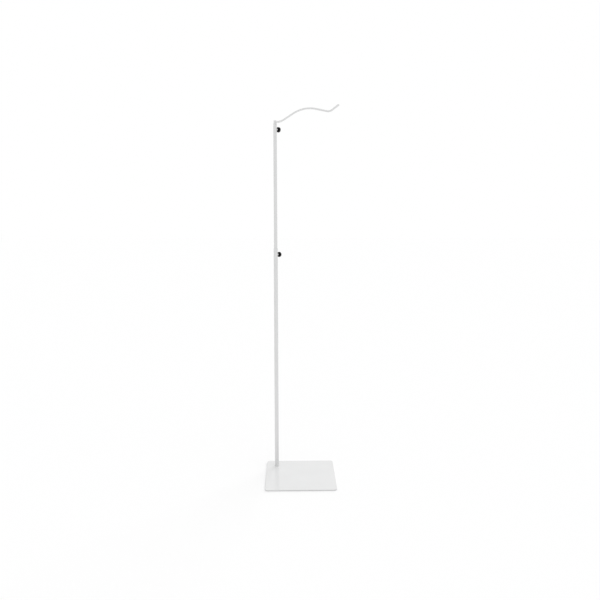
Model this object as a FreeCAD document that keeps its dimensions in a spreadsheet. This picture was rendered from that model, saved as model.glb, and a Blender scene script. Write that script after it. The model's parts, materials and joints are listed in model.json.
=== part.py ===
"""Free-standing telescopic garment display stand, in millimetres.

A square steel plate carries a round tube near its back left corner.  A thinner tube slides and
turns inside it, and a short post with a wavy hanging arm plugs into the top.  Two thumb screws
clamp the tube and the post.  The origin is on the floor under the middle of the plate, +Z is up,
+X is to the right and +Y is to the back.
"""
import FreeCAD, Part
import math
import os
import Sketcher
from FreeCAD import Vector

# Every size that can be set by itself: its name, its value and what it measures.
SIZES = [
    ("plate_side", 320.0, "side of the square base plate"),
    ("plate_thickness", 4.0, "thickness of the base plate"),
    ("plate_corner_radius", 13.0, "radius of the plate's corners in plan"),
    ("plate_edge_radius", 0.8, "rounding of the plate's top edge"),
    ("pole_side_margin", 47.5, "pole axis to the plate's left edge"),
    ("pole_back_margin", 57.5, "pole axis to the plate's back edge"),
    ("pad_diameter", 20.0, "diameter of a foot pad"),
    ("pad_thickness", 0.8, "thickness of a foot pad"),
    ("pad_edge_chamfer", 0.3, "chamfer round a foot pad's lower edge"),
    ("pad_inset", 24.0, "foot pad centre to the plate's edges"),
    ("seat_gap", 0.05, "gap between fixed pieces that are seated, pressed or screwed together"),
    ("running_gap", 0.08, "radial gap of a pin or spigot that turns in its bore"),
    ("slide_gap", 0.3, "radial gap of a tube or post that slides in its bore"),
    ("glide_gap", 0.1, "radial gap of the glide in the lower tube"),
    ("bolt_diameter", 6.0, "thread diameter of the pole bolt"),
    ("bolt_length", 25.0, "overall length of the pole bolt"),
    ("bolt_head_diameter", 12.0, "head diameter of the pole bolt"),
    ("bolt_rim", 0.3, "straight rim of the bolt's countersunk head"),
    ("bolt_recess", 0.2, "depth of the bolt's head below the plate's underside"),
    ("bolt_key", 4.0, "hexagon socket of the pole bolt, across flats"),
    ("bolt_key_depth", 2.3, "depth of the bolt's hexagon socket"),
    ("bolt_hole_gap", 0.3, "radial gap of the bolt's shank in the plate"),
    ("insert_length", 30.0, "length of the threaded insert in the tube's foot"),
    ("insert_chamfer", 1.0, "lead-in chamfer at the top of the insert"),
    ("lower_tube_diameter", 19.0, "outer diameter of the lower tube"),
    ("lower_tube_wall", 1.2, "wall of the lower tube"),
    ("lower_tube_length", 1049.2, "length of the lower tube"),
    ("upper_tube_wall", 1.2, "wall of the upper tube"),
    ("upper_tube_length", 1000.0, "length of the upper tube"),
    ("mast_extension", 557.0, "upper tube's top above the lower tube's top, as set"),
    ("tube_rim_radius", 0.3, "rounding of the tubes' cut ends"),
    ("glide_length", 12.0, "length of the glide's collar below the upper tube"),
    ("glide_spigot_length", 20.0, "length of the glide's spigot in the upper tube"),
    ("glide_bore", 6.0, "vent bore through the glide"),
    ("glide_chamfer", 1.0, "chamfers of the glide"),
    ("post_insertion", 50.0, "length of the head post inside the upper tube"),
    ("post_exposed", 14.0, "length of the head post above the upper tube"),
    ("post_chamfer", 0.8, "chamfers at the post's ends"),
    ("rod_diameter", 8.0, "diameter of the arm's rod"),
    ("rod_end_radius", 1.5, "rounding of the rod's free end"),
    ("arm_height", 6.0, "rod axis above the upper tube's top, at the post"),
    ("arm_socket_depth", 6.0, "depth of the rod's seat in the post"),
    ("arm_azimuth", -44.0, "direction of the arm in plan, from +X"),
    ("root_run", 16.3, "straight rod from the post to the first bend"),
    ("rise_radius", 102.0, "radius of the bend up from the post"),
    ("rise_angle", 19.7, "slope of the rising stretch"),
    ("rise_run", 53.2, "length of the rising stretch"),
    ("crest_radius", 230.0, "radius of the bend over the crest"),
    ("fall_angle", 14.9, "slope of the falling stretch"),
    ("fall_run", 63.6, "length of the falling stretch"),
    ("dip_radius", 42.5, "radius of the bend through the dip"),
    ("tip_angle", 25.0, "slope of the upturned end"),
    ("tip_run", 37.8, "length of the upturned end"),
    ("knob_azimuth", 45.0, "direction of the thumb screws in plan, from +X"),
    ("lower_screw_drop", 28.0, "lower thumb screw below the lower tube's top"),
    ("upper_screw_drop", 24.5, "upper thumb screw below the upper tube's top"),
    ("stud_diameter", 5.0, "thread diameter of a thumb screw"),
    ("stud_embedded", 7.0, "length of the stud moulded into its grip"),
    ("stud_end_chamfer", 0.5, "chamfer at the stud's working end"),
    ("stud_hole_gap", 0.3, "radial gap of the stud in the tube's wall"),
    ("boss_diameter", 8.0, "outer diameter of a threaded boss"),
    ("boss_height", 4.5, "height of a boss above its tube"),
    ("knob_gap", 1.2, "gap between a boss and its tightened grip"),
    ("tip_diameter", 3.0, "diameter of the nylon tip"),
    ("tip_seat", 2.4, "depth of the nylon tip in the stud"),
    ("tip_proud", 1.0, "length of the nylon tip that stands out of the stud"),
    ("clamp_gap", 0.06, "gap left between a tightened tip and what it clamps"),
    ("grip_diameter", 23.6, "outer diameter of a grip"),
    ("grip_thickness", 9.5, "thickness of a grip's rim"),
    ("hub_diameter", 12.0, "diameter of a grip's hub"),
    ("hub_length", 2.0, "length of a grip's hub"),
    ("grip_rounding", 1.6, "rounding of a grip's rim"),
    ("flute_diameter", 4.6, "diameter of the cutter that forms a flute"),
    ("flute_depth", 0.9, "depth of a flute"),
    ("flute_count", 12.0, "flutes round a grip"),
]

doc = FreeCAD.newDocument("garment_display_stand")
sheet = doc.addObject("Spreadsheet::Sheet", "sizes")
for row, (alias, number, meaning) in enumerate(SIZES, start=1):
    sheet.set(f"A{row}", meaning)
    sheet.set(f"B{row}", str(number))
    sheet.setAlias(f"B{row}", alias)
doc.recompute()

# Places and sizes that follow from the sheet.
POLE_X = "(sizes.pole_side_margin - sizes.plate_side / 2)"
POLE_Y = "(sizes.plate_side / 2 - sizes.pole_back_margin)"
PLATE_TOP = "(sizes.pad_thickness + sizes.plate_thickness)"
LOWER_TOP = f"({PLATE_TOP} + sizes.lower_tube_length)"
UPPER_TOP = f"({LOWER_TOP} + sizes.mast_extension)"
UPPER_BOTTOM = f"({UPPER_TOP} - sizes.upper_tube_length)"
LOWER_BORE = "(sizes.lower_tube_diameter - 2 * sizes.lower_tube_wall)"
UPPER_DIAMETER = f"({LOWER_BORE} - 2 * sizes.slide_gap)"
UPPER_BORE = f"({UPPER_DIAMETER} - 2 * sizes.upper_tube_wall)"
POST_DIAMETER = f"({UPPER_BORE} - 2 * sizes.slide_gap)"
STUD_HOLE = "(sizes.stud_diameter + 2 * sizes.stud_hole_gap)"

pieces = []


def value_of(expression):
    """The number that an expression of the sheet's values gives."""
    return float(sheet.evalExpression(expression))


def new_body(label, x="0", y="0", z="0", turn=None):
    """A body with its own label, placed by expressions and turned about +Z if asked."""
    body = doc.addObject("PartDesign::Body", label)
    body.Label = label
    if turn:
        body.Placement.Rotation = FreeCAD.Rotation(Vector(0, 0, 1), value_of(turn))
        body.setExpression("Placement.Rotation.Angle", turn)
    for axis, expression in (("x", x), ("y", y), ("z", z)):
        body.setExpression(f"Placement.Base.{axis}", expression)
    pieces.append(body)
    return body


def new_sketch(body, name, plane, offset=None):
    """A sketch on one of the body's origin planes, lifted off it by an expression if asked."""
    support = next(item for item in body.Origin.OriginFeatures if item.Role == plane)
    sketch = body.newObject("Sketcher::SketchObject", name)
    sketch.AttachmentSupport = [(support, "")]
    sketch.MapMode = "FlatFace"
    if offset:
        sketch.setExpression("AttachmentOffset.Base.z", offset)
    return sketch


def bind_constraint(sketch, kind, references, expression):
    """Adds a dimension to a sketch and ties it to the sheet."""
    index = sketch.addConstraint(Sketcher.Constraint(kind, *references, value_of(expression)))
    sketch.setExpression(f"Constraints[{index}]", expression)


def pin_point(sketch, geometry, end, x, y):
    """Holds a point of a sketch at two coordinates."""
    horizontal_axis, vertical_axis, origin = -1, -2, (-1, 1)
    if x == "0":
        sketch.addConstraint(Sketcher.Constraint("PointOnObject", geometry, end, vertical_axis))
    else:
        bind_constraint(sketch, "DistanceX", (*origin, geometry, end), x)
    if y == "0":
        sketch.addConstraint(Sketcher.Constraint("PointOnObject", geometry, end, horizontal_axis))
    else:
        bind_constraint(sketch, "DistanceY", (*origin, geometry, end), y)


def draw_circle(sketch, diameter, x="0", y="0"):
    """A circle of a given diameter about a given centre."""
    centre = Vector(value_of(x), value_of(y), 0)
    circle = Part.Circle(centre, Vector(0, 0, 1), value_of(diameter) / 2)
    index = sketch.addGeometry(circle)
    bind_constraint(sketch, "Diameter", (index,), diameter)
    pin_point(sketch, index, 3, x, y)


def draw_outline(sketch, corners):
    """A closed outline of straight lines through corners given as pairs of expressions."""
    points = [Vector(value_of(x), value_of(y), 0) for x, y in corners]
    ends = points[1:] + points[:1]
    lines = sketch.addGeometry([Part.LineSegment(a, b) for a, b in zip(points, ends)])
    for place, (x, y) in enumerate(corners):
        sketch.addConstraint(Sketcher.Constraint("Coincident", lines[place - 1], 2, lines[place], 1))
        pin_point(sketch, lines[place], 1, x, y)


def pad(body, name, sketch, length):
    """Extrudes a sketch along its normal."""
    feature = body.newObject("PartDesign::Pad", name)
    feature.Profile = sketch
    feature.setExpression("Length", length)
    doc.recompute()
    return feature


def pocket(body, name, sketch, length=None, along_normal=False):
    """Cuts a sketch against its normal, or along it; without a length, right through."""
    before = body.Shape.Volume
    feature = body.newObject("PartDesign::Pocket", name)
    feature.Profile = sketch
    feature.Reversed = along_normal
    if length:
        feature.setExpression("Length", length)
    else:
        feature.Type = "ThroughAll"
    doc.recompute()
    if not body.Shape.Volume < before:
        raise RuntimeError(f"{body.Label}: {name} cuts nothing")
    return feature


def revolve(body, name, sketch, axis):
    """Turns a sketch a full turn about one of its own axes."""
    feature = body.newObject("PartDesign::Revolution", name)
    feature.Profile = sketch
    feature.ReferenceAxis = (sketch, [axis])
    feature.Angle = 360
    doc.recompute()
    return feature


def dress_edges(body, kind, name, base, size, chosen):
    """A fillet or chamfer on the edges of a feature that a test chooses."""
    edges = [f"Edge{n}" for n, edge in enumerate(base.Shape.Edges, start=1) if chosen(edge)]
    feature = body.newObject(f"PartDesign::{kind}", name)
    feature.Base = (base, edges)
    feature.setExpression("Size" if kind == "Chamfer" else "Radius", size)
    doc.recompute()
    return feature


def at_height(height, tolerance=1e-4):
    """A test for edges that lie in one level plane of the body's own frame."""
    level = value_of(height)

    def chosen(edge):
        return all(abs(vertex.Z - level) < tolerance for vertex in edge.Vertexes)

    return chosen


def circle_at(x, radius, tolerance=1e-4):
    """A test for a full circle about the body's X axis, by place and radius."""
    place, size = value_of(x), value_of(radius)

    def chosen(edge):
        if not isinstance(edge.Curve, Part.Circle):
            return False
        same_place = abs(edge.Curve.Center.x - place) < tolerance
        return same_place and abs(edge.Curve.Radius - size) < tolerance

    return chosen


def make_base_plate():
    """The square steel plate, with a countersunk hole from below for the pole bolt."""
    body = new_body("base_plate", z="sizes.pad_thickness")
    half = "sizes.plate_side / 2"
    square = new_sketch(body, "plate_outline", "XY_Plane")
    draw_outline(square, [(f"-{half}", f"-{half}"), (half, f"-{half}"), (half, half),
                          (f"-{half}", half)])
    plate = pad(body, "plate", square, "sizes.plate_thickness")
    corners = dress_edges(body, "Fillet", "plate_corners", plate, "sizes.plate_corner_radius",
                          lambda edge: edge.Vertexes[0].Z != edge.Vertexes[1].Z)
    dress_edges(body, "Fillet", "plate_top_edge", corners, "sizes.plate_edge_radius",
                at_height("sizes.plate_thickness"))
    centre = new_sketch(body, "bolt_hole_centre", "XY_Plane")
    draw_circle(centre, "sizes.bolt_diameter", POLE_X, POLE_Y)
    doc.recompute()
    before = body.Shape.Volume
    hole = body.newObject("PartDesign::Hole", "bolt_hole")
    hole.Profile = centre
    hole.DepthType = "ThroughAll"
    hole.Reversed = True
    hole.HoleCutType = "Countersink"
    hole.HoleCutCountersinkAngle = 90
    hole.setExpression("Diameter", "sizes.bolt_diameter + 2 * sizes.bolt_hole_gap")
    sink = "sizes.bolt_recess + sizes.bolt_rim + sizes.seat_gap * sqrt(2)"
    hole.setExpression("HoleCutDiameter", f"sizes.bolt_head_diameter + 2 * ({sink})")
    doc.recompute()
    if not body.Shape.Volume < before:
        raise RuntimeError("base_plate: the bolt hole cuts nothing")


def make_foot_pads():
    """Four thin round pads under the plate's corners."""
    offset = "(sizes.plate_side / 2 - sizes.pad_inset)"
    for depth_name, y_sign in (("front", "-"), ("back", "")):
        for side_name, x_sign in (("left", "-"), ("right", "")):
            body = new_body(f"{depth_name}_{side_name}_pad", x_sign + offset, y_sign + offset)
            outline = new_sketch(body, "pad_outline", "XY_Plane")
            draw_circle(outline, "sizes.pad_diameter")
            disc = pad(body, "disc", outline, "sizes.pad_thickness")
            dress_edges(body, "Chamfer", "lower_edge", disc, "sizes.pad_edge_chamfer",
                        at_height("0"))


def make_pole_bolt():
    """The countersunk socket bolt that holds the pole on the plate from below."""
    body = new_body("pole_bolt", POLE_X, POLE_Y, "sizes.pad_thickness + sizes.bolt_recess")
    head, shank = "sizes.bolt_head_diameter / 2", "sizes.bolt_diameter / 2"
    cone_top = "sizes.bolt_rim + (sizes.bolt_head_diameter - sizes.bolt_diameter) / 2"
    profile = new_sketch(body, "bolt_profile", "XZ_Plane")
    draw_outline(profile, [("0", "0"), (head, "0"), (head, "sizes.bolt_rim"), (shank, cone_top),
                           (shank, "sizes.bolt_length"), ("0", "sizes.bolt_length")])
    turned = revolve(body, "turned_bolt", profile, "V_Axis")
    dress_edges(body, "Chamfer", "thread_end", turned, "sizes.stud_end_chamfer",
                at_height("sizes.bolt_length"))
    socket = new_sketch(body, "socket_outline", "XY_Plane")
    corner = "sizes.bolt_key / 2 / cos(30)"
    steps = [("1", "0"), ("0.5", "sin(60)"), ("-0.5", "sin(60)"), ("-1", "0"),
             ("-0.5", "-sin(60)"), ("0.5", "-sin(60)")]
    hexagon = []
    for across, up in steps:
        hexagon.append((f"{across} * {corner}", "0" if up == "0" else f"{up} * {corner}"))
    draw_outline(socket, hexagon)
    pocket(body, "hexagon_socket", socket, "sizes.bolt_key_depth", along_normal=True)


def make_foot_insert():
    """The threaded steel plug fixed in the foot of the lower tube."""
    body = new_body("foot_insert", POLE_X, POLE_Y, PLATE_TOP)
    ring = new_sketch(body, "insert_rings", "XY_Plane")
    draw_circle(ring, f"{LOWER_BORE} - 2 * sizes.seat_gap")
    draw_circle(ring, "sizes.bolt_diameter + 2 * sizes.seat_gap")
    plug = pad(body, "plug", ring, "sizes.insert_length")
    dress_edges(body, "Chamfer", "lead_in", plug, "sizes.insert_chamfer",
                at_height("sizes.insert_length"))


def make_tube(label, bottom, diameter, bore, length, screw_height, turn):
    """A round tube with a cross hole in its +X side for a thumb screw."""
    body = new_body(label, POLE_X, POLE_Y, bottom, turn)
    rings = new_sketch(body, "tube_rings", "XY_Plane")
    draw_circle(rings, diameter)
    draw_circle(rings, bore)
    tube = pad(body, "tube", rings, length)
    dress_edges(body, "Fillet", "rims", tube, "sizes.tube_rim_radius",
                lambda edge: at_height("0")(edge) or at_height(length)(edge))
    hole = new_sketch(body, "stud_hole", "YZ_Plane")
    draw_circle(hole, STUD_HOLE, "0", screw_height)
    pocket(body, "cross_hole", hole, along_normal=True)


def make_boss(label, height, tube_diameter):
    """A threaded boss with its foot shaped to the tube, pointing along +X."""
    body = new_body(label, POLE_X, POLE_Y, height, "sizes.knob_azimuth")
    inside = "sizes.boss_diameter / 2"
    foot = f"sqrt(({tube_diameter} / 2) ^ 2 - ({inside}) ^ 2)"
    rings = new_sketch(body, "boss_rings", "YZ_Plane", foot)
    draw_circle(rings, "sizes.boss_diameter")
    draw_circle(rings, "sizes.stud_diameter + 2 * sizes.seat_gap")
    pad(body, "boss", rings, f"{tube_diameter} / 2 + sizes.boss_height - {foot}")
    lift = "-sizes.boss_diameter"
    saddle = new_sketch(body, "saddle_circle", "XY_Plane", lift)
    draw_circle(saddle, tube_diameter)
    pocket(body, "saddle", saddle, along_normal=True)


def make_thumb_screw(place, height, tube_diameter, clamped_diameter):
    """A thumb screw along +X: a nylon tip, a threaded stud and a fluted grip moulded on it."""
    turn = "sizes.knob_azimuth"
    tip_face = f"({clamped_diameter} / 2 + sizes.clamp_gap)"
    stud_end = f"({tip_face} + sizes.tip_proud)"
    grip_face = f"({tube_diameter} / 2 + sizes.boss_height + sizes.knob_gap)"
    stud_top = f"({grip_face} + sizes.stud_embedded)"
    tip_radius, stud_radius = "sizes.tip_diameter / 2", "sizes.stud_diameter / 2"

    tip = new_body(f"{place}_knob_tip", POLE_X, POLE_Y, height, turn)
    outline = new_sketch(tip, "tip_circle", "YZ_Plane", tip_face)
    draw_circle(outline, "sizes.tip_diameter")
    pad(tip, "nylon_pin", outline, "sizes.tip_proud + sizes.tip_seat")

    stud = new_body(f"{place}_knob_stud", POLE_X, POLE_Y, height, turn)
    profile = new_sketch(stud, "stud_profile", "XZ_Plane")
    seat_bottom = f"{stud_end} + sizes.tip_seat + sizes.running_gap"
    seat_radius = f"{tip_radius} + sizes.running_gap"
    draw_outline(profile, [(stud_end, seat_radius),
                           (stud_end, f"{stud_radius} - sizes.stud_end_chamfer"),
                           (f"{stud_end} + sizes.stud_end_chamfer", stud_radius),
                           (stud_top, stud_radius), (stud_top, "0"), (seat_bottom, "0"),
                           (seat_bottom, seat_radius)])
    revolve(stud, "turned_stud", profile, "H_Axis")

    grip = new_body(f"{place}_knob_grip", POLE_X, POLE_Y, height, turn)
    profile = new_sketch(grip, "grip_profile", "XZ_Plane")
    rim_face = f"{grip_face} + sizes.hub_length"
    outer_face = f"({rim_face} + sizes.grip_thickness)"
    bore_radius = f"{stud_radius} + sizes.seat_gap"
    bore_bottom = f"{stud_top} + sizes.seat_gap"
    hub_radius, grip_radius = "sizes.hub_diameter / 2", "sizes.grip_diameter / 2"
    draw_outline(profile, [(grip_face, bore_radius), (grip_face, hub_radius),
                           (rim_face, hub_radius), (rim_face, grip_radius),
                           (outer_face, grip_radius), (outer_face, "0"), (bore_bottom, "0"),
                           (bore_bottom, bore_radius)])
    turned = revolve(grip, "turned_grip", profile, "H_Axis")
    on_rim, on_outer_face = circle_at(rim_face, grip_radius), circle_at(outer_face, grip_radius)
    dress_edges(grip, "Fillet", "rim_rounding", turned, "sizes.grip_rounding",
                lambda edge: on_rim(edge) or on_outer_face(edge))
    flute = new_sketch(grip, "flute_circle", "YZ_Plane", outer_face)
    draw_circle(flute, "sizes.flute_diameter", "0",
                f"{grip_radius} + sizes.flute_diameter / 2 - sizes.flute_depth")
    cut = pocket(grip, "flute", flute, "sizes.grip_thickness")
    flutes = grip.newObject("PartDesign::PolarPattern", "flutes")
    flutes.Originals = [cut]
    flutes.Axis = (flute, ["N_Axis"])
    flutes.Angle = 360
    flutes.setExpression("Occurrences", "sizes.flute_count")
    grip.Tip = flutes
    doc.recompute()


def make_glide():
    """The plastic glide at the upper tube's lower end: a collar with a spigot in the tube."""
    body = new_body("mast_glide", POLE_X, POLE_Y, f"{UPPER_BOTTOM} - sizes.seat_gap")
    vent = "sizes.glide_bore / 2"
    collar = f"({LOWER_BORE} / 2 - sizes.glide_gap)"
    spigot = f"({UPPER_BORE} / 2 - sizes.running_gap)"
    bottom, top, slope = "-sizes.glide_length", "sizes.glide_spigot_length", "sizes.glide_chamfer"
    profile = new_sketch(body, "glide_profile", "XZ_Plane")
    draw_outline(profile, [(vent, bottom), (f"{collar} - {slope}", bottom),
                           (collar, f"{bottom} + {slope}"), (collar, "0"), (spigot, "0"),
                           (spigot, f"{top} - {slope}"), (f"{spigot} - {slope}", top),
                           (vent, top)])
    revolve(body, "moulded_glide", profile, "V_Axis")


def make_head_post():
    """The solid post of the head, with a blind cross hole that seats the arm's rod."""
    body = new_body("head_post", POLE_X, POLE_Y, f"{UPPER_TOP} - sizes.post_insertion",
                    "sizes.arm_azimuth")
    length = "(sizes.post_insertion + sizes.post_exposed)"
    disc = new_sketch(body, "post_circle", "XY_Plane")
    draw_circle(disc, POST_DIAMETER)
    bar = pad(body, "bar", disc, length)
    dress_edges(body, "Chamfer", "bar_ends", bar, "sizes.post_chamfer",
                lambda edge: at_height("0")(edge) or at_height(length)(edge))
    seat = new_sketch(body, "seat_circle", "YZ_Plane",
                      f"{POST_DIAMETER} / 2 - sizes.arm_socket_depth")
    draw_circle(seat, "sizes.rod_diameter + 2 * sizes.seat_gap", "0",
                "sizes.post_insertion + sizes.arm_height")
    pocket(body, "rod_seat", seat, along_normal=True)


def draw_arm_path(sketch, start):
    """Straight runs joined by tangent bends, level at the post; returns the path's length."""
    steps = [("sizes.arm_socket_depth - sizes.seat_gap + sizes.root_run", "0"),
             ("sizes.rise_radius", "sizes.rise_angle"), ("sizes.rise_run", "sizes.rise_angle"),
             ("sizes.crest_radius", "-sizes.fall_angle"), ("sizes.fall_run", "-sizes.fall_angle"),
             ("sizes.dip_radius", "sizes.tip_angle"), ("sizes.tip_run", "sizes.tip_angle")]
    point = Vector(value_of(start), 0, 0)
    heading, total, previous, previous_end = 0.0, 0.0, None, None
    for number, (measure, slope) in enumerate(steps):
        size = value_of(measure)
        target = math.radians(value_of(slope))
        if number % 2 == 0:
            end = point + Vector(math.cos(target), math.sin(target), 0) * size
            index = sketch.addGeometry(Part.LineSegment(point, end))
            first_end, last_end = 1, 2
            total += size
        else:
            side = 1 if target > heading else -1
            radial = Vector(math.sin(heading), -math.cos(heading), 0) * side
            centre = point - radial * size
            angles = sorted(angle - side * math.pi / 2 for angle in (heading, target))
            circle = Part.Circle(centre, Vector(0, 0, 1), size)
            index = sketch.addGeometry(Part.ArcOfCircle(circle, *angles))
            first_end, last_end = (1, 2) if side > 0 else (2, 1)
            out = Vector(math.sin(target), -math.cos(target), 0) * side
            end = centre + out * size
            total += size * abs(target - heading)
        if previous is None:
            pin_point(sketch, index, first_end, start, "0")
            sketch.addConstraint(Sketcher.Constraint("Horizontal", index))
        else:
            joint = (previous, previous_end, index, first_end)
            sketch.addConstraint(Sketcher.Constraint("Tangent", *joint))
        if number % 2 == 0:
            bind_constraint(sketch, "Distance", (index,), measure)
            if number:
                sketch_angle = f"({slope}) * 1 deg"
                radians = Sketcher.Constraint("Angle", index, target)
                constraint = sketch.addConstraint(radians)
                sketch.setExpression(f"Constraints[{constraint}]", sketch_angle)
        else:
            bind_constraint(sketch, "Radius", (index,), measure)
        point, heading, previous, previous_end = end, target, index, last_end
    return total


def make_wave_arm():
    """The bent rod: up from the post, over a crest, down to a dip and up to its free end."""
    body = new_body("wave_arm", POLE_X, POLE_Y, f"{UPPER_TOP} + sizes.arm_height",
                    "sizes.arm_azimuth")
    start = f"({POST_DIAMETER} / 2 - sizes.arm_socket_depth + sizes.seat_gap)"
    path = new_sketch(body, "arm_path", "XZ_Plane")
    length = draw_arm_path(path, start)
    section = new_sketch(body, "rod_section", "YZ_Plane", start)
    draw_circle(section, "sizes.rod_diameter")
    doc.recompute()
    rod = body.newObject("PartDesign::AdditivePipe", "bent_rod")
    rod.Profile = section
    rod.Spine = (path, [f"Edge{n}" for n in range(1, len(path.Shape.Edges) + 1)])
    doc.recompute()
    expected = math.pi * (value_of("sizes.rod_diameter") / 2) ** 2 * length
    if abs(rod.Shape.Volume / expected - 1) > 0.002:
        raise RuntimeError("wave_arm: the rod's volume isn't its section times its length")
    far_end = rod.Shape.BoundBox.XMax
    dress_edges(body, "Fillet", "free_end", rod, "sizes.rod_end_radius",
                lambda edge: edge.BoundBox.XMax > far_end - 1e-3 and edge.isClosed())


make_base_plate()
make_foot_pads()
make_pole_bolt()
make_foot_insert()
lower_screw_height = "(sizes.lower_tube_length - sizes.lower_screw_drop)"
upper_screw_height = "(sizes.upper_tube_length - sizes.upper_screw_drop)"
make_tube("lower_tube", PLATE_TOP, "sizes.lower_tube_diameter", LOWER_BORE,
          "sizes.lower_tube_length", lower_screw_height, "sizes.knob_azimuth")
make_boss("lower_boss", f"{LOWER_TOP} - sizes.lower_screw_drop", "sizes.lower_tube_diameter")
make_thumb_screw("lower", f"{LOWER_TOP} - sizes.lower_screw_drop", "sizes.lower_tube_diameter",
                 UPPER_DIAMETER)
make_glide()
make_tube("upper_tube", UPPER_BOTTOM, UPPER_DIAMETER, UPPER_BORE, "sizes.upper_tube_length",
          upper_screw_height, "sizes.knob_azimuth")
make_boss("upper_boss", f"{UPPER_TOP} - sizes.upper_screw_drop", UPPER_DIAMETER)
make_thumb_screw("upper", f"{UPPER_TOP} - sizes.upper_screw_drop", UPPER_DIAMETER, POST_DIAMETER)
make_head_post()
make_wave_arm()

doc.recompute()
for item in doc.Objects:
    if "Invalid" in item.State or "Error" in item.State:
        raise RuntimeError(f"{item.Label} failed: {item.State}")
for body in pieces:
    if body.Shape.isNull() or not body.Shape.isValid() or len(body.Shape.Solids) != 1:
        raise RuntimeError(f"{body.Label} isn't one valid solid")

os.makedirs("parts", exist_ok=True)
for body in pieces:
    body.Shape.exportStep(f"parts/{body.Label}.step")
    print(f"{body.Label}: {body.Shape.Volume:.1f} mm3")
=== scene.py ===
import json
import math

import bmesh
import bpy
from mathutils import Matrix, Vector


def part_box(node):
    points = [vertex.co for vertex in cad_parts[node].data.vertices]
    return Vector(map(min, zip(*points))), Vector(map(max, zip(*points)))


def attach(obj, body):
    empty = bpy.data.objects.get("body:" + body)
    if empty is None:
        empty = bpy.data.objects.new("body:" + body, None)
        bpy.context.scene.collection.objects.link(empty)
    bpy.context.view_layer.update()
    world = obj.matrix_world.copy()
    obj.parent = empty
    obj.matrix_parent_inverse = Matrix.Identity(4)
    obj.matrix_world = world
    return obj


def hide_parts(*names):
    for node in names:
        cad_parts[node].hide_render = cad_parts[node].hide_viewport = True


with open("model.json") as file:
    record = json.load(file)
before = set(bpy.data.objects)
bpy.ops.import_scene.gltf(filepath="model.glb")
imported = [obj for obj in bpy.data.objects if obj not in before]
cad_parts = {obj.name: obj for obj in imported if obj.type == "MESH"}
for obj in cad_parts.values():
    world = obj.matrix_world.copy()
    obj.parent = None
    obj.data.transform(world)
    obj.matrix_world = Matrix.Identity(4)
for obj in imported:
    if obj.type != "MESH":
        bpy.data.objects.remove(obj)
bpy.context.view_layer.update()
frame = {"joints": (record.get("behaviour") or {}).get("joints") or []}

MM = 0.001
TAU = 2 * math.pi
UP = Vector((0, 0, 1))


# ---------------------------------------------------------------- places taken from the frame

def size_of(node):
    low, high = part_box(node)
    return high - low


def joint_named(name):
    return next(joint for joint in frame["joints"] if joint["name"] == name)


plate_low, plate_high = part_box("base_plate")
lower_low, lower_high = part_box("lower_tube")
post_low, post_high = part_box("head_post")
arm_low, arm_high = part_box("wave_arm")
pole_x = (lower_low.x + lower_high.x) / 2
pole_y = (lower_low.y + lower_high.y) / 2
arm_direction = Vector((arm_high.x - pole_x, arm_low.y - pole_y, 0)).normalized()
screw_direction = Vector(joint_named("upper_knob_travel")["axis"]).normalized()

LOWER_RADIUS = size_of("lower_tube").x / 2
UPPER_RADIUS = size_of("upper_tube").x / 2
POST_RADIUS = size_of("head_post").x / 2
TUBE_WALL = 1.2 * MM


def frame_along(origin, direction):
    """Local +Z along a level direction, local +Y up, origin at a point of the pole's axis."""
    side = UP.cross(direction)
    turn = Matrix((side, UP, direction)).transposed().to_4x4()
    return Matrix.Translation(origin) @ turn


def upright(x, y, z):
    return Matrix.Translation((x, y, z))


# ---------------------------------------------------------------- mesh helpers

def circle(radius, height, segments=96):
    """A level ring of points about the local Z axis."""
    angles = [TAU * step / segments for step in range(segments)]
    return [Vector((radius * math.cos(a), radius * math.sin(a), height)) for a in angles]


def skin(name, rings, place=Matrix.Identity(4), loop=False, sharp=35):
    """Joins rings of equal count with quads, and caps the ends or joins the last to the first."""
    mesh = bmesh.new()
    layers = [[mesh.verts.new(place @ point) for point in ring] for ring in rings]
    pairs = list(zip(layers, layers[1:] + layers[:1])) if loop else list(zip(layers, layers[1:]))
    for near, far in pairs:
        for index, vertex in enumerate(near):
            after = (index + 1) % len(near)
            mesh.faces.new((vertex, near[after], far[after], far[index]))
    if not loop:
        fan(mesh, layers[0], flipped=True)
        fan(mesh, layers[-1])
    return finish_mesh(name, mesh, sharp)


def fan(mesh, ring, flipped=False):
    """Closes a ring with triangles to its middle."""
    middle = sum((vertex.co for vertex in ring), Vector()) / len(ring)
    centre = mesh.verts.new(middle)
    for index, vertex in enumerate(ring):
        after = ring[(index + 1) % len(ring)]
        mesh.faces.new((centre, after, vertex) if flipped else (centre, vertex, after))


def finish_mesh(name, mesh, sharp=35):
    """Makes a smooth-shaded object of a bmesh, with its steep edges sharp."""
    bmesh.ops.recalc_face_normals(mesh, faces=mesh.faces)
    data = bpy.data.meshes.new(name)
    mesh.to_mesh(data)
    mesh.free()
    data.shade_smooth()
    data.set_sharp_from_angle(angle=math.radians(sharp))
    piece = bpy.data.objects.new(name, data)
    bpy.context.scene.collection.objects.link(piece)
    return piece


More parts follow.
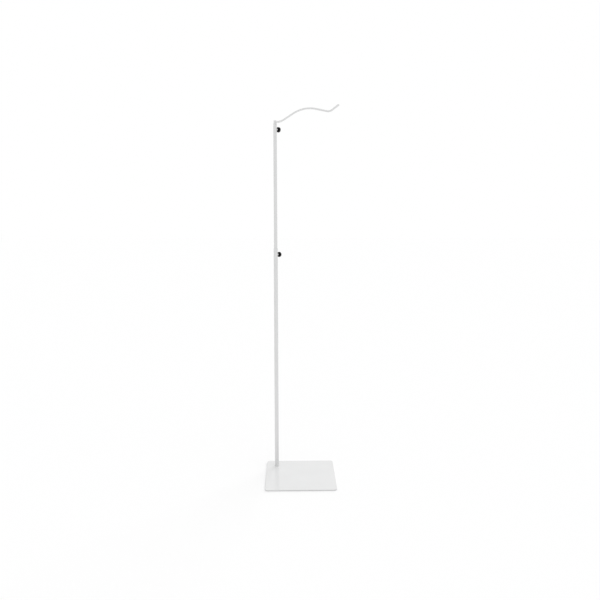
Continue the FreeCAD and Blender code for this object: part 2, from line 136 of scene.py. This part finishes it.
def rounded(corners, steps=6, closed=False):
    """A profile through (across, along, radius) corners, each rounded by an arc and held by a
    point just beyond each end of the arc, so that the flats between stay flat when smooth."""
    points = []
    count = len(corners)
    for index, (across, along, radius) in enumerate(corners):
        corner = Vector((across, along))
        if not closed and index in (0, count - 1) or radius <= 0:
            points.append(corner)
            continue
        before = Vector(corners[index - 1][:2]) - corner
        after = Vector(corners[(index + 1) % count][:2]) - corner
        toward, away = before.normalized(), after.normalized()
        half = toward.angle(away) / 2
        reach = radius / math.tan(half)
        centre = corner + (toward + away).normalized() * (radius / math.sin(half))
        start, end = corner + toward * reach, corner + away * reach
        spread = math.pi - 2 * half
        hold = min(0.3 * radius, 0.4 * (min(before.length, after.length) - reach))
        if hold > 0:
            points.append(start + toward * hold)
        first = start - centre
        turn = 1 if first.cross(end - centre) > 0 else -1
        for step in range(steps + 1):
            angle = turn * spread * step / steps
            spun = Matrix.Rotation(angle, 2) @ first
            points.append(centre + spun)
        if hold > 0:
            points.append(end + away * hold)
    return [(point.x, point.y) for point in points]


def lathe(name, profile, place, segments=96, loop=False, sharp=35):
    """Turns a profile of (radius, height) pairs about the local Z axis."""
    rings = [circle(radius, height, segments) for radius, height in profile]
    return skin(name, rings, place, loop=loop, sharp=sharp)


# ---------------------------------------------------------------- materials

def shader(name, colour, roughness, **constants):
    """A new material with its Principled shader set up; returns material, nodes, links, shader."""
    material = bpy.data.materials.new(name)
    material.use_nodes = True
    nodes, links = material.node_tree.nodes, material.node_tree.links
    principled = nodes["Principled BSDF"]
    principled.inputs["Base Color"].default_value = (*colour, 1)
    principled.inputs["Roughness"].default_value = roughness
    for socket, value in constants.items():
        principled.inputs[socket.replace("_", " ")].default_value = value
    return material, nodes, links, principled


def noise(nodes, links, scale, detail=2.0, rough=0.5):
    """Noise in the frame's own space, so it is the same size on every piece; scale is per metre."""
    coordinates = nodes.new("ShaderNodeTexCoord")
    texture = nodes.new("ShaderNodeTexNoise")
    texture.inputs["Scale"].default_value = scale
    texture.inputs["Detail"].default_value = detail
    texture.inputs["Roughness"].default_value = rough
    links.new(coordinates.outputs["Object"], texture.inputs["Vector"])
    return texture.outputs["Fac"]


def spread(nodes, links, factor, low, high, start=0.3, end=0.7):
    """Maps a factor from start..end onto low..high."""
    remap = nodes.new("ShaderNodeMapRange")
    remap.inputs["From Min"].default_value = start
    remap.inputs["From Max"].default_value = end
    remap.inputs["To Min"].default_value = low
    remap.inputs["To Max"].default_value = high
    links.new(factor, remap.inputs["Value"])
    return remap.outputs["Result"]


def blend_colours(nodes, links, factor, first, second):
    """Mixes two colours by a factor."""
    mix = nodes.new("ShaderNodeMix")
    mix.data_type = "RGBA"
    mix.inputs["A"].default_value = (*first, 1)
    mix.inputs["B"].default_value = (*second, 1)
    links.new(factor, mix.inputs["Factor"])
    return mix.outputs["Result"]


def stack_bumps(nodes, links, principled, layers):
    """Chains bump layers of (height factor, distance in metres, strength) into the normal."""
    normal = None
    for height, distance, strength in layers:
        bump = nodes.new("ShaderNodeBump")
        bump.inputs["Distance"].default_value = distance
        bump.inputs["Strength"].default_value = strength
        links.new(height, bump.inputs["Height"])
        if normal:
            links.new(normal, bump.inputs["Normal"])
        normal = bump.outputs["Normal"]
    links.new(normal, principled.inputs["Normal"])


def make_powder_coat():
    """White semi-gloss powder coat: fine orange peel, faint cloudiness of shade and gloss."""
    material, nodes, links, principled = shader("white_powder_coat", (0.738, 0.741, 0.741), 0.2,
                                                Coat_Weight=0.35, Coat_Roughness=0.1)
    cloud = noise(nodes, links, 9, detail=3)
    shade = spread(nodes, links, cloud, 0, 1)
    links.new(blend_colours(nodes, links, shade, (0.727, 0.730, 0.730), (0.749, 0.752, 0.752)),
              principled.inputs["Base Color"])
    handling = noise(nodes, links, 45, detail=4, rough=0.6)
    links.new(spread(nodes, links, handling, 0.12, 0.19), principled.inputs["Roughness"])
    peel = noise(nodes, links, 520, detail=1.5)
    grain = noise(nodes, links, 2600, detail=1)
    stack_bumps(nodes, links, principled, [(peel, 0.00012, 0.35), (grain, 0.00002, 0.25)])
    return material


def make_black_plastic():
    """Black moulded plastic with a fine spark-eroded texture."""
    material, nodes, links, principled = shader("black_plastic", (0.005, 0.005, 0.0055), 0.42,
                                                Specular_IOR_Level=0.12)
    cloud = noise(nodes, links, 160, detail=3)
    shade = spread(nodes, links, cloud, 0, 1)
    links.new(blend_colours(nodes, links, shade, (0.004, 0.004, 0.0045), (0.007, 0.007, 0.0075)),
              principled.inputs["Base Color"])
    rub = noise(nodes, links, 420, detail=3, rough=0.65)
    links.new(spread(nodes, links, rub, 0.34, 0.52), principled.inputs["Roughness"])
    sparks = noise(nodes, links, 3800, detail=2)
    stack_bumps(nodes, links, principled, [(sparks, 0.00004, 0.5)])
    return material


def make_zinc():
    """Bright zinc plating: cool grey metal with a faint cloudy bloom and a fine grain."""
    material, nodes, links, principled = shader("zinc_steel", (0.62, 0.63, 0.64), 0.3, Metallic=1.0)
    bloom = noise(nodes, links, 300, detail=4)
    shade = spread(nodes, links, bloom, 0, 1)
    links.new(blend_colours(nodes, links, shade, (0.55, 0.57, 0.60), (0.70, 0.69, 0.66)),
              principled.inputs["Base Color"])
    links.new(spread(nodes, links, bloom, 0.22, 0.42), principled.inputs["Roughness"])
    grain = noise(nodes, links, 5000, detail=2)
    stack_bumps(nodes, links, principled, [(grain, 0.00002, 0.35)])
    return material


def make_nylon():
    """Natural nylon: warm white, slightly translucent, satin."""
    material, nodes, links, principled = shader("natural_nylon", (0.80, 0.77, 0.69), 0.4,
                                                Subsurface_Weight=0.3, Subsurface_Scale=0.001)
    cloud = noise(nodes, links, 700, detail=2)
    links.new(spread(nodes, links, cloud, 0.34, 0.48), principled.inputs["Roughness"])
    shade = spread(nodes, links, cloud, 0, 1)
    links.new(blend_colours(nodes, links, shade, (0.77, 0.74, 0.66), (0.83, 0.80, 0.73)),
              principled.inputs["Base Color"])
    stack_bumps(nodes, links, principled, [(cloud, 0.00003, 0.3)])
    return material


def make_rubber():
    """Dark grey rubber, matt, with a fine grain and a little dust."""
    material, nodes, links, principled = shader("rubber_pad", (0.04, 0.04, 0.042), 0.8)
    dust = noise(nodes, links, 260, detail=5, rough=0.65)
    shade = spread(nodes, links, dust, 0, 1, 0.45, 0.75)
    links.new(blend_colours(nodes, links, shade, (0.035, 0.035, 0.037), (0.085, 0.083, 0.08)),
              principled.inputs["Base Color"])
    links.new(spread(nodes, links, dust, 0.72, 0.9), principled.inputs["Roughness"])
    grain = noise(nodes, links, 2400, detail=3)
    stack_bumps(nodes, links, principled, [(grain, 0.00006, 0.6)])
    return material


MATERIALS = {
    "white_powder_coat": make_powder_coat(),
    "black_plastic": make_black_plastic(),
    "zinc_steel": make_zinc(),
    "natural_nylon": make_nylon(),
    "rubber_pad": make_rubber(),
}


def settle(piece, body, slot, *nodes):
    """Gives a piece the material of its slot and its body, and hides the CAD nodes that it stands
    for.
    """
    piece.data.materials.clear()
    piece.data.materials.append(MATERIALS[slot])
    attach(piece, body)
    if nodes:
        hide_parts(*nodes)
    return piece


# ---------------------------------------------------------------- base

PLATE_CORNER = 13 * MM
PLATE_TOP_EDGE = 0.8 * MM
PLATE_BOTTOM_EDGE = 0.4 * MM
PLATE_RIM_WIDTH = 12 * MM
BOLT_HOLE_RADIUS = 3.3 * MM
COUNTERSINK_RADIUS = 6.57 * MM


def square_loop(inset, height, corner_steps=12):
    """The plate's outline moved in by an inset, as points at one height."""
    half = size_of("base_plate").x / 2 - inset
    radius = max(PLATE_CORNER - inset, 2 * MM)
    points = []
    for quarter in range(4):
        middle = math.pi / 4 + quarter * math.pi / 2
        x = math.copysign(half - radius, math.cos(middle))
        y = math.copysign(half - radius, math.sin(middle))
        for step in range(corner_steps + 1):
            angle = quarter * math.pi / 2 + step * math.pi / 2 / corner_steps
            across, along = radius * math.cos(angle), radius * math.sin(angle)
            points.append(Vector((x + across, y + along, height)))
    return points


def make_plate():
    """The base plate: rounded edges all round and a countersunk hole under the pole."""
    bottom, top = plate_low.z, plate_high.z
    side = rounded([(PLATE_RIM_WIDTH, bottom, 0), (0, bottom, PLATE_BOTTOM_EDGE),
                    (0, top, PLATE_TOP_EDGE), (PLATE_RIM_WIDTH, top, 0)], steps=6)
    cone_depth = COUNTERSINK_RADIUS - BOLT_HOLE_RADIUS
    hole = [(COUNTERSINK_RADIUS, bottom), (BOLT_HOLE_RADIUS, bottom + cone_depth),
            (BOLT_HOLE_RADIUS, top)]
    mesh = bmesh.new()
    walls = []
    for loops in ([square_loop(inset, height) for inset, height in side],
                  [[point + Vector((pole_x, pole_y, 0)) for point in circle(radius, height, 64)]
                   for radius, height in hole]):
        layers = [[mesh.verts.new(point) for point in loop] for loop in loops]
        for near, far in zip(layers, layers[1:]):
            for index, vertex in enumerate(near):
                after = (index + 1) % len(near)
                mesh.faces.new((vertex, near[after], far[after], far[index]))
        walls.append(layers)
    for end in (0, -1):
        rims = walls[0][end] + walls[1][end]
        edges = {edge for vertex in rims for edge in vertex.link_edges
                 if edge.is_boundary and all(other in rims for other in edge.verts)}
        bmesh.ops.triangle_fill(mesh, edges=list(edges), use_beauty=True, use_dissolve=False)
    return settle(finish_mesh("plate", mesh), "base", "white_powder_coat", "base_plate")


def make_pad(node):
    """A round rubber pad with a soft edge and three shallow rings moulded in its underside."""
    low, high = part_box(node)
    radius = (high.x - low.x) / 2
    height = high.z - low.z
    edge, groove, step = 0.35 * MM, 0.35 * MM, 2.2 * MM
    profile = [(0.3 * MM, 0)]
    for ring in range(1, 4):
        middle = ring * step
        profile += [(middle - 0.5 * MM, 0), (middle - 0.25 * MM, groove),
                    (middle + 0.25 * MM, groove), (middle + 0.5 * MM, 0)]
    profile += rounded([(radius - 1.2 * MM, 0, 0), (radius, 0, edge), (radius, height, edge / 2),
                        (radius - 1.5 * MM, height, 0), (0.3 * MM, height, 0)], steps=5)
    place = upright((low.x + high.x) / 2, (low.y + high.y) / 2, low.z)
    settle(lathe(node.replace("pad", "foot"), profile, place, segments=72), "base", "rubber_pad",
           node)


# ---------------------------------------------------------------- threads, studs and bolts

def threaded_rings(radius, pitch, start, end, segments, chamfer_start=0.0, chamfer_end=0.0):
    """Rings of a right-hand thread along local Z: flat crests, sloping flanks, rounded roots."""
    depth = 0.6134 * pitch
    count = max(2, round((end - start) / pitch * 12))
    rings = []
    for row in range(count + 1):
        height = start + (end - start) * row / count
        limit = radius
        if chamfer_start and height - start < chamfer_start:
            limit = radius - chamfer_start + (height - start)
        if chamfer_end and end - height < chamfer_end:
            limit = radius - chamfer_end + (end - height)
        ring = []
        for step in range(segments):
            angle = TAU * step / segments
            phase = (height / pitch - angle / TAU) % 1.0
            from_root = abs(phase - 0.5) * 2
            climb = min(max((from_root - 0.2) / 0.65, 0.0), 1.0)
            local = min(radius - depth * (1 - climb), limit)
            ring.append(Vector((local * math.cos(angle), local * math.sin(angle), height)))
        rings.append(ring)
    return rings


def hexagon(across_flats, height, segments):
    """A ring of points on a hexagon, with a point on each corner."""
    sixth = TAU / 6
    ring = []
    for step in range(segments):
        angle = TAU * step / segments
        off = angle % sixth - sixth / 2
        reach = across_flats / 2 / math.cos(off)
        ring.append(Vector((reach * math.cos(angle), reach * math.sin(angle), height)))
    return ring


def make_pole_bolt():
    """The countersunk socket bolt under the plate, with its thread up in the insert."""
    low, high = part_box("pole_bolt")
    head = (high.x - low.x) / 2
    shank, pitch, rim = 3.0 * MM, 1.0 * MM, 0.3 * MM
    key, key_depth = 4.0 * MM, 2.3 * MM
    segments = 72
    cone_top = rim + head - shank
    rings = [hexagon(key * 0.2, key_depth + 0.9 * MM, segments), hexagon(key, key_depth, segments),
             hexagon(key, 0.15 * MM, segments), hexagon(key + 0.3 * MM, 0, segments),
             circle(head - 1.2 * MM, 0, segments), circle(head - 0.1 * MM, 0, segments),
             circle(head, 0.1 * MM, segments), circle(head, rim, segments),
             circle(shank, cone_top, segments)]
    rings += threaded_rings(shank, pitch, cone_top + 0.1 * MM, high.z - low.z, segments,
                            chamfer_end=0.5 * MM)
    settle(skin("bolt", rings, upright(pole_x, pole_y, low.z)), "base", "zinc_steel", "pole_bolt")


def make_insert():
    """The threaded plug in the foot of the lower tube."""
    low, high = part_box("foot_insert")
    radius, bore, height = (high.x - low.x) / 2, 3.05 * MM, high.z - low.z
    profile = rounded([(bore, 0.0, 0.4 * MM), (radius, 0.0, 0.3 * MM), (radius, height, 0.9 * MM),
                       (bore, height, 0.4 * MM)], steps=4, closed=True)
    settle(lathe("insert", profile, upright(pole_x, pole_y, low.z), loop=True), "base",
           "zinc_steel", "foot_insert")


# ---------------------------------------------------------------- tubes, bosses and glide

def make_tube(name, node, body, outer):
    """A tube with its cut ends deburred."""
    low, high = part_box(node)
    inner, length, burr = outer - TUBE_WALL, high.z - low.z, 0.32 * MM
    profile = rounded([(inner, 0.0, burr), (outer, 0.0, burr), (outer, length, burr),
                       (inner, length, burr)], steps=6, closed=True)
    settle(lathe(name, profile, upright(pole_x, pole_y, low.z), segments=128, loop=True), body,
           "white_powder_coat", node)


BOSS_HEIGHT = 4.5 * MM


def make_boss(place, body, node, tube_radius):
    """A turned boss with a chamfered mouth, its foot sunk in the tube's wall, and its weld."""
    low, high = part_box(node)
    centre = Vector((pole_x, pole_y, (low.z + high.z) / 2))
    radius, bore = (high.z - low.z) / 2, 2.55 * MM
    end = tube_radius + BOSS_HEIGHT
    foot = math.sqrt(tube_radius ** 2 - radius ** 2) - 0.1 * MM
    profile = rounded([(bore, foot, 0), (radius, foot, 0), (radius, end, 0.45 * MM),
                       (bore + 0.4 * MM, end, 0.1 * MM), (bore, end - 0.4 * MM, 0.1 * MM)],
                      steps=5, closed=True)
    turned = frame_along(centre, screw_direction)
    settle(lathe(f"{place}_boss_turned", profile, turned, segments=64, loop=True), body,
           "white_powder_coat", node)
    weld = saddle_weld(f"{place}_boss_weld", turned, radius, tube_radius, leg=1.1 * MM)
    settle(weld, body, "white_powder_coat")


def saddle_weld(name, place, branch, main, leg, segments=120, ripples=22):
    """A painted fillet weld where a round branch along local Z leaves a round upright."""
    rings = []
    for step in range(segments):
        angle = TAU * step / segments
        outward = Vector((math.cos(angle), math.sin(angle), 0))
        ripple = 1 + 0.07 * math.sin(ripples * angle) + 0.05 * math.sin(5 * angle + 1.0)
        reach = leg * ripple

        def on_upright(distance):
            across = distance * outward.x
            return outward * distance + UP * math.sqrt(main ** 2 - across ** 2)

        root = on_upright(branch)
        on_branch = root + UP * reach
        on_main = on_upright(branch + reach)
        crown = (root * 0.45 + (on_branch + on_main) / 2 * 0.55)
        buried = on_upright(branch - 0.5 * MM) - UP * 0.4 * MM
        under_main = on_main - UP * 0.3 * MM
        under_branch = on_branch - outward * 0.3 * MM
        ring = [buried, under_branch]
        for part in range(9):
            t = part / 8
            ring.append(on_branch * (1 - t) ** 2 + crown * 2 * t * (1 - t) + on_main * t ** 2)
        ring.append(under_main)
        rings.append(ring)
    return skin(name, rings, place, loop=True, sharp=50)


def make_glide():
    """The moulded glide: a collar with two bearing bands and a stepped spigot in the tube."""
    low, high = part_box("mast_glide")
    collar = (high.x - low.x) / 2
    vent, spigot, joint = 3.0 * MM, UPPER_RADIUS - TUBE_WALL - 0.08 * MM, 12 * MM
    waist = collar - 0.35 * MM
    top = high.z - low.z
    profile = rounded([(vent, 0.0, 0.3 * MM), (collar - 1 * MM, 0.0, 0.2 * MM),
                       (collar, 1.0 * MM, 0.3 * MM), (collar, 4.0 * MM, 0.15 * MM),
                       (waist, 4.4 * MM, 0.1 * MM), (waist, 7.6 * MM, 0.1 * MM),
                       (collar, 8.0 * MM, 0.15 * MM), (collar, joint, 0.3 * MM),
                       (spigot, joint, 0.1 * MM), (spigot, top - 1 * MM, 0.3 * MM),
                       (spigot - 1 * MM, top, 0.3 * MM), (vent, top, 0.3 * MM)], steps=4,
                      closed=True)
    settle(lathe("glide_moulding", profile, upright(pole_x, pole_y, low.z), loop=True), "glide",
           "black_plastic", "mast_glide")


# ---------------------------------------------------------------- thumb screws

SCREW_PITCH = 0.8 * MM
STUD_RADIUS = 2.5 * MM
STUD_EMBEDDED = 7 * MM
TIP_RADIUS = 1.5 * MM
TIP_SEAT = 2.4 * MM
TIP_PROUD = 1.0 * MM
CLAMP_GAP = 0.06 * MM
KNOB_GAP = 1.2 * MM
HUB_RADIUS = 6 * MM
HUB_LENGTH = 2 * MM
GRIP_RADIUS = 11.8 * MM
GRIP_THICKNESS = 9.5 * MM
GRIP_FLUTES = 12
FLUTE_DEPTH = 0.9 * MM
DISH_RADIUS = 7.6 * MM


def make_stud(place, start, end, seat_radius, seat_depth):
    """A threaded stud with a bore in its end for the nylon tip."""
    segments = 60
    rings = [circle(seat_radius, start + seat_depth, segments),
             circle(seat_radius, start + 0.15 * MM, segments),
             circle(seat_radius + 0.15 * MM, start, segments)]
    rings += threaded_rings(STUD_RADIUS, SCREW_PITCH, start, end, segments,
                            chamfer_start=0.5 * MM)
    return skin("stud", rings, place, sharp=60)


def make_grip(place, start):
    """A fluted grip with a rounded rim, a dished face and a faint parting line."""
    rim, end = start + HUB_LENGTH, start + HUB_LENGTH + GRIP_THICKNESS
    hub_radius, radius = HUB_RADIUS, GRIP_RADIUS
    bore, segments = STUD_RADIUS + 0.05 * MM, GRIP_FLUTES * 16
    middle = (rim + end) / 2
    line = 0.06 * MM
    outline = rounded([(bore, start + STUD_EMBEDDED, 0), (bore, start, 0.25 * MM),
                       (hub_radius, start, 0.6 * MM), (hub_radius - 0.3 * MM, rim, 0.5 * MM),
                       (radius, rim, 1.5 * MM), (radius, middle - 0.15 * MM, 0),
                       (radius + line, middle, 0), (radius, middle + 0.15 * MM, 0),
                       (radius, end, 1.7 * MM), (DISH_RADIUS, end, 0.5 * MM),
                       (DISH_RADIUS - 0.6 * MM, end - 0.7 * MM, 0.4 * MM),
                       (1.6 * MM, end - 0.5 * MM, 0.3 * MM), (1.3 * MM, end - 0.7 * MM, 0.15 * MM),
                       (0.2 * MM, end - 0.7 * MM, 0)], steps=7)
    fade_from = DISH_RADIUS + 0.6 * MM
    rings = []
    for across, along in outline:
        inside = min(max((across - fade_from) / (radius - fade_from), 0.0), 1.0)
        depth = FLUTE_DEPTH * inside * inside * (3 - 2 * inside)
        shrink = (radius - line) / radius
        ring = []
        for step in range(segments):
            angle = TAU * step / segments
            wave = angle * GRIP_FLUTES / TAU % 1.0 * 2 - 1
            hollow = max(0.0, math.cos(min(abs(wave) / 0.78, 1.0) * math.pi / 2)) ** 1.4
            local = across * shrink - depth * hollow
            ring.append(Vector((local * math.cos(angle), local * math.sin(angle), along)))
        rings.append(ring)
    return skin("grip", rings, place, sharp=50)


def make_thumb_screw(place, tube_radius, clamped_radius, height):
    """The three pieces of a thumb screw: tip, stud and grip."""
    turned = frame_along(Vector((pole_x, pole_y, height)), screw_direction)
    tip_face = clamped_radius + CLAMP_GAP
    stud_end = tip_face + TIP_PROUD
    tip_back = stud_end + TIP_SEAT
    grip_face = tube_radius + BOSS_HEIGHT + KNOB_GAP
    tip = lathe(f"{place}_tip",
                rounded([(0.1 * MM, tip_face, 0), (TIP_RADIUS, tip_face, 0.3 * MM),
                         (TIP_RADIUS, tip_back, 0.15 * MM), (0.1 * MM, tip_back, 0)], steps=5),
                turned, segments=48)
    settle(tip, f"{place}_screw_tip", "natural_nylon", f"{place}_knob_tip")
    stud = make_stud(turned, stud_end, grip_face + STUD_EMBEDDED, TIP_RADIUS + 0.08 * MM,
                     TIP_SEAT + 0.05 * MM)
    stud.name = f"{place}_stud"
    settle(stud, f"{place}_thumb_screw", "zinc_steel", f"{place}_knob_stud")
    grip = make_grip(turned, grip_face)
    grip.name = f"{place}_grip"
    settle(grip, f"{place}_thumb_screw", "black_plastic", f"{place}_knob_grip")


# ---------------------------------------------------------------- head

ROD_RADIUS = 4.0 * MM
ROD_SEAT = 5.95 * MM
# The rod's runs and bends in order: a length or a bend radius in mm, and the slope it ends at.
ARM_STEPS = [("line", 22.25, 0.0), ("bend", 102.0, 19.7), ("line", 53.2, 19.7),
             ("bend", 230.0, -14.9), ("line", 63.6, -14.9), ("bend", 42.5, 25.0),
             ("line", 37.8, 25.0)]


def arm_centre_line(start):
    """Points and headings of the rod's centre line in the arm's upright plane."""
    point, heading = Vector((start, 0)), 0.0
    stations = [(point.copy(), heading)]
    for kind, amount, degrees in ARM_STEPS:
        target = math.radians(degrees)
        if kind == "line":
            pieces = 8
            for _ in range(pieces):
                point += Vector((math.cos(target), math.sin(target))) * amount * MM / pieces
                stations.append((point.copy(), target))
        else:
            pieces = max(6, round(math.degrees(abs(target - heading)) / 1.5))
            for step in range(pieces):
                before = heading + (target - heading) * step / pieces
                after = heading + (target - heading) * (step + 1) / pieces
                chord = 2 * amount * MM * math.sin(abs(after - before) / 2)
                mean = (before + after) / 2
                point += Vector((math.cos(mean), math.sin(mean))) * chord
                stations.append((point.copy(), after))
        heading = target
    return stations


def make_arm():
    """The bent round rod with a rounded free end, seated in the post."""
    stations = arm_centre_line(POST_RADIUS - ROD_SEAT)
    base = Vector((pole_x, pole_y, arm_low.z + ROD_RADIUS))
    side = UP.cross(arm_direction)
    end_rounding, cap_steps, segments = 1.5 * MM, 7, 48
    rows = [(point, heading, ROD_RADIUS) for point, heading in stations]
    tip, tip_heading, _ = rows.pop()
    along = Vector((math.cos(tip_heading), math.sin(tip_heading)))
    start = tip - along * end_rounding
    for step in range(cap_steps + 1):
        angle = math.pi / 2 * step / cap_steps
        centre = start + along * end_rounding * math.sin(angle)
        rows.append((centre, tip_heading, ROD_RADIUS - end_rounding * (1 - math.cos(angle))))
    rows.append((tip, tip_heading, ROD_RADIUS - 1.3 * end_rounding))
    rings = []
    for point, heading, radius in rows:
        centre = base + arm_direction * point.x + UP * point.y
        normal = UP * math.cos(heading) - arm_direction * math.sin(heading)
        ring = []
        for step in range(segments):
            angle = TAU * step / segments
            ring.append(centre + (side * math.cos(angle) + normal * math.sin(angle)) * radius)
        rings.append(ring)
    settle(skin("arm_rod", rings), "head", "white_powder_coat", "wave_arm")


def make_head():
    """The post with softly chamfered ends, the arm, and the weld between them."""
    length = post_high.z - post_low.z
    profile = rounded([(0.2 * MM, 0.0, 0), (POST_RADIUS - 0.8 * MM, 0.0, 0.3 * MM),
                       (POST_RADIUS, 0.8 * MM, 0.3 * MM),
                       (POST_RADIUS, length - 0.8 * MM, 0.5 * MM),
                       (POST_RADIUS - 0.8 * MM, length, 0.5 * MM), (0.2 * MM, length, 0)], steps=6)
    settle(lathe("post_bar", profile, upright(pole_x, pole_y, post_low.z), segments=96), "head",
           "white_powder_coat", "head_post")
    make_arm()
    root = Vector((pole_x, pole_y, arm_low.z + ROD_RADIUS))
    weld = saddle_weld("arm_weld", frame_along(root, arm_direction), ROD_RADIUS, POST_RADIUS,
                       leg=1.0 * MM)
    settle(weld, "head", "white_powder_coat")


make_plate()
for pad_node in ("front_left_pad", "front_right_pad", "back_left_pad", "back_right_pad"):
    make_pad(pad_node)
make_pole_bolt()
make_insert()
make_tube("lower_pole", "lower_tube", "base", LOWER_RADIUS)
make_tube("upper_pole", "upper_tube", "upper_mast", UPPER_RADIUS)
make_boss("lower", "base", "lower_boss", LOWER_RADIUS)
make_boss("upper", "upper_mast", "upper_boss", UPPER_RADIUS)
make_glide()
make_thumb_screw("lower", LOWER_RADIUS, UPPER_RADIUS, joint_named("lower_knob_turn")["pos_m"][2])
make_thumb_screw("upper", UPPER_RADIUS, POST_RADIUS, joint_named("upper_knob_turn")["pos_m"][2])
make_head()


# ---------------------------------------------------------------- stage, light and camera

FLOOR_SIZE = 60.0


def make_stage():
    """A wide pale floor."""
    mesh = bmesh.new()
    reach = FLOOR_SIZE / 2
    corners = [(-reach, -reach), (reach, -reach), (reach, reach), (-reach, reach)]
    mesh.faces.new([mesh.verts.new((x, y, 0)) for x, y in corners])
    floor = finish_mesh("floor", mesh)
    material, _, _, principled = shader("floor_paint", (0.93, 0.93, 0.93), 0.9)
    principled.inputs["Specular IOR Level"].default_value = 0.0
    floor.data.materials.append(material)


SURROUNDINGS = 0.68


def make_lamp(name, strength, spread, turn, height, glossy):
    """A soft sun lamp from a compass turn (from +X) and a height, both in degrees."""
    data = bpy.data.lights.new(name, "SUN")
    data.energy, data.angle = strength, math.radians(spread)
    lamp = bpy.data.objects.new(name, data)
    lamp.rotation_euler = (math.radians(90 - height), 0, math.radians(90 + turn))
    lamp.visible_glossy = glossy
    bpy.context.scene.collection.objects.link(lamp)


def make_light():
    """A white backdrop that eye and gloss see, even light all round and two soft lamps."""
    world = bpy.data.worlds.new("studio")
    bpy.context.scene.world = world
    world.use_nodes = True
    nodes, links = world.node_tree.nodes, world.node_tree.links
    around = nodes["Background"]
    around.inputs["Color"].default_value = (1, 1, 1, 1)
    around.inputs["Strength"].default_value = SURROUNDINGS
    backdrop = nodes.new("ShaderNodeBackground")
    backdrop.inputs["Color"].default_value = (1, 1, 1, 1)
    rays = nodes.new("ShaderNodeLightPath")
    mirrored = nodes.new("ShaderNodeMath")
    mirrored.operation = "MAXIMUM"
    links.new(rays.outputs["Is Camera Ray"], mirrored.inputs[0])
    links.new(rays.outputs["Is Glossy Ray"], mirrored.inputs[1])
    choice = nodes.new("ShaderNodeMixShader")
    links.new(mirrored.outputs["Value"], choice.inputs["Fac"])
    links.new(around.outputs["Background"], choice.inputs[1])
    links.new(backdrop.outputs["Background"], choice.inputs[2])
    links.new(choice.outputs["Shader"], nodes["World Output"].inputs["Surface"])
    make_lamp("overhead_lamp", 0.82, 70, turn=285, height=74, glossy=True)
    make_lamp("low_back_lamp", 1.3, 34, turn=62, height=20, glossy=False)


CAMERA_TURN = math.radians(-0.91)
CAMERA_PITCH = math.radians(8.0)
CAMERA_PLACE = Vector((-0.0024, -2.6662, 1.2037))
FOCAL_LENGTH_MM = 36


def make_camera():
    """The camera at the photograph's angle, a little above the stand's middle."""
    data = bpy.data.cameras.new("camera")
    data.lens, data.sensor_width = FOCAL_LENGTH_MM, 36
    camera = bpy.data.objects.new("camera", data)
    camera.location = Matrix.Rotation(CAMERA_TURN, 4, "Z") @ CAMERA_PLACE
    camera.rotation_euler = (math.pi / 2 - CAMERA_PITCH, 0, CAMERA_TURN)
    bpy.context.scene.collection.objects.link(camera)
    bpy.context.scene.camera = camera


make_stage()
make_light()
make_camera()
bpy.context.scene.view_settings.view_transform = "Standard"
